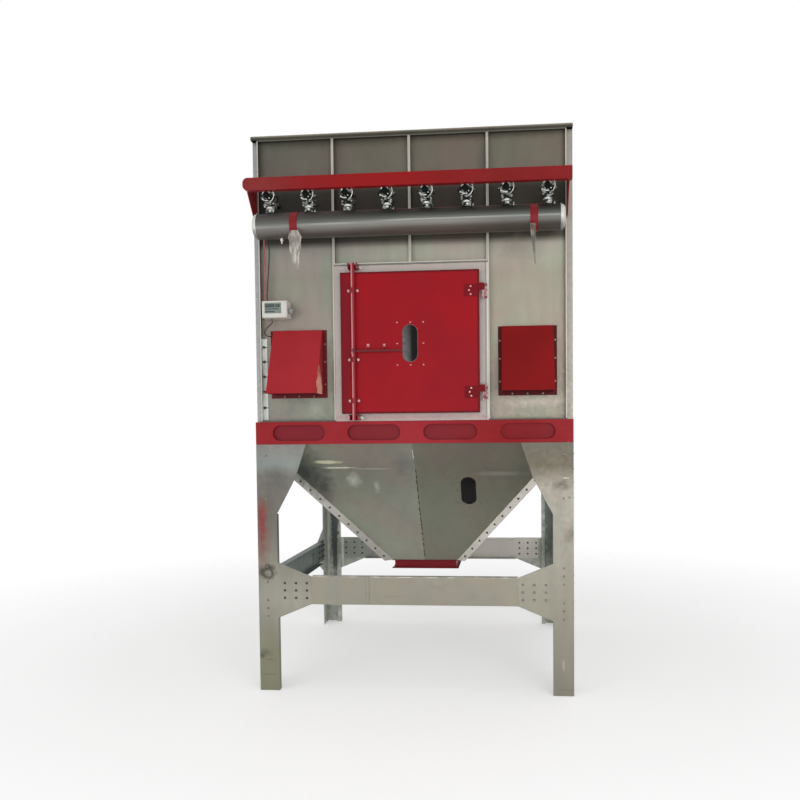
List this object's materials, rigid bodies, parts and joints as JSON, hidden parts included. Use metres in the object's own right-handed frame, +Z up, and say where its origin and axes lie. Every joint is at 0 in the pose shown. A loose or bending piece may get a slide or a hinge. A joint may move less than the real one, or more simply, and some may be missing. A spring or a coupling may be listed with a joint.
{
  "type": "baghouse dust collector",
  "caption": "Baghouse dust collector on four legs: panelled housing with a red lockable door, inlet hoods, pulse valves over an air tank, and a hopper below.",
  "frame": {"origin": "ground level under the middle of the bounding box: half way between the housing's sides, and half way from the guard rail's front to the rear legs' back", "axes": "+X to the right as seen from the door side, +Y from the door side to the rear, +Z up"},
  "size_m": [2, 2.015, 3.51],
  "materials": {
    "galvanised_sheet": "satin galvanised sheet",
    "galvanised_frame": "dull weathered galvanised plate",
    "red_paint": "semi-gloss red paint",
    "zinc_fittings": "bright satin zinc",
    "cast_alloy": "satin casting",
    "window_glass": "clear, dark behind",
    "control_plastic": "off-white satin",
    "conduit_plastic": "dull pinkish red"
  },
  "bodies": {
    "housing": {"front_panel_left": "galvanised_sheet", "front_panel_right": "galvanised_sheet", "upper_panel_left": "galvanised_sheet", "upper_panel_right": "galvanised_sheet", "left_wall": "galvanised_sheet", "right_wall": "galvanised_sheet", "back_wall": "galvanised_sheet", "roof": "galvanised_sheet", "door_frame": "galvanised_sheet", "front_hopper_plate": "galvanised_sheet", "rear_hopper_plate": "galvanised_sheet", "left_hopper_plate": "galvanised_sheet", "right_hopper_plate": "galvanised_sheet", "front_left_leg": "galvanised_frame", "front_right_leg": "galvanised_frame", "rear_left_leg": "galvanised_frame", "rear_right_leg": "galvanised_frame", "front_beam": "galvanised_frame", "rear_beam": "galvanised_frame", "left_beam": "galvanised_frame", "right_beam": "galvanised_frame", "front_belt": "red_paint", "back_belt": "red_paint", "left_belt": "red_paint", "right_belt": "red_paint", "discharge_flange": "red_paint", "lower_rod_keeper": "red_paint", "upper_rod_keeper": "red_paint", "left_inlet_hood": "red_paint", "right_inlet_hood": "red_paint", "guard_rail": "red_paint", "left_rail_bracket": "red_paint", "right_rail_bracket": "red_paint", "left_tank_strap": "red_paint", "right_tank_strap": "red_paint", "lower_hinge_frame_post": "zinc_fittings", "upper_hinge_frame_post": "zinc_fittings", "air_tank_shell": "zinc_fittings", "left_tank_end": "zinc_fittings", "right_tank_end": "zinc_fittings", "pulse_valve_1": "cast_alloy", "pulse_valve_2": "cast_alloy", "pulse_valve_3": "cast_alloy", "pulse_valve_4": "cast_alloy", "pulse_valve_5": "cast_alloy", "pulse_valve_6": "cast_alloy", "pulse_valve_7": "cast_alloy", "pulse_valve_8": "cast_alloy", "hopper_window_glass": "window_glass", "control_box": "control_plastic", "valve_conduit": "conduit_plastic"},
    "door": {"door_leaf": "red_paint", "door_window_glass": "window_glass", "lower_hinge_door_strap": "red_paint", "upper_hinge_door_strap": "red_paint", "lower_rod_guide": "red_paint", "middle_rod_guide": "red_paint", "upper_rod_guide": "red_paint"},
    "lock_rod": {"lock_rod": "red_paint"}
  },
  "joints": [
    {"name": "door_hinge", "type": "hinge", "parent": "housing", "child": "door", "pos_m": [0.452, -0.8235, 2.205], "axis": [0, 0, 1], "range_deg": [0, 110]},
    {"name": "lock_rod_turn", "type": "hinge", "parent": "door", "child": "lock_rod", "pos_m": [-0.352, -0.847, 2.2115], "axis": [0, 0, -1], "range_deg": [0, 90]}
  ]
}
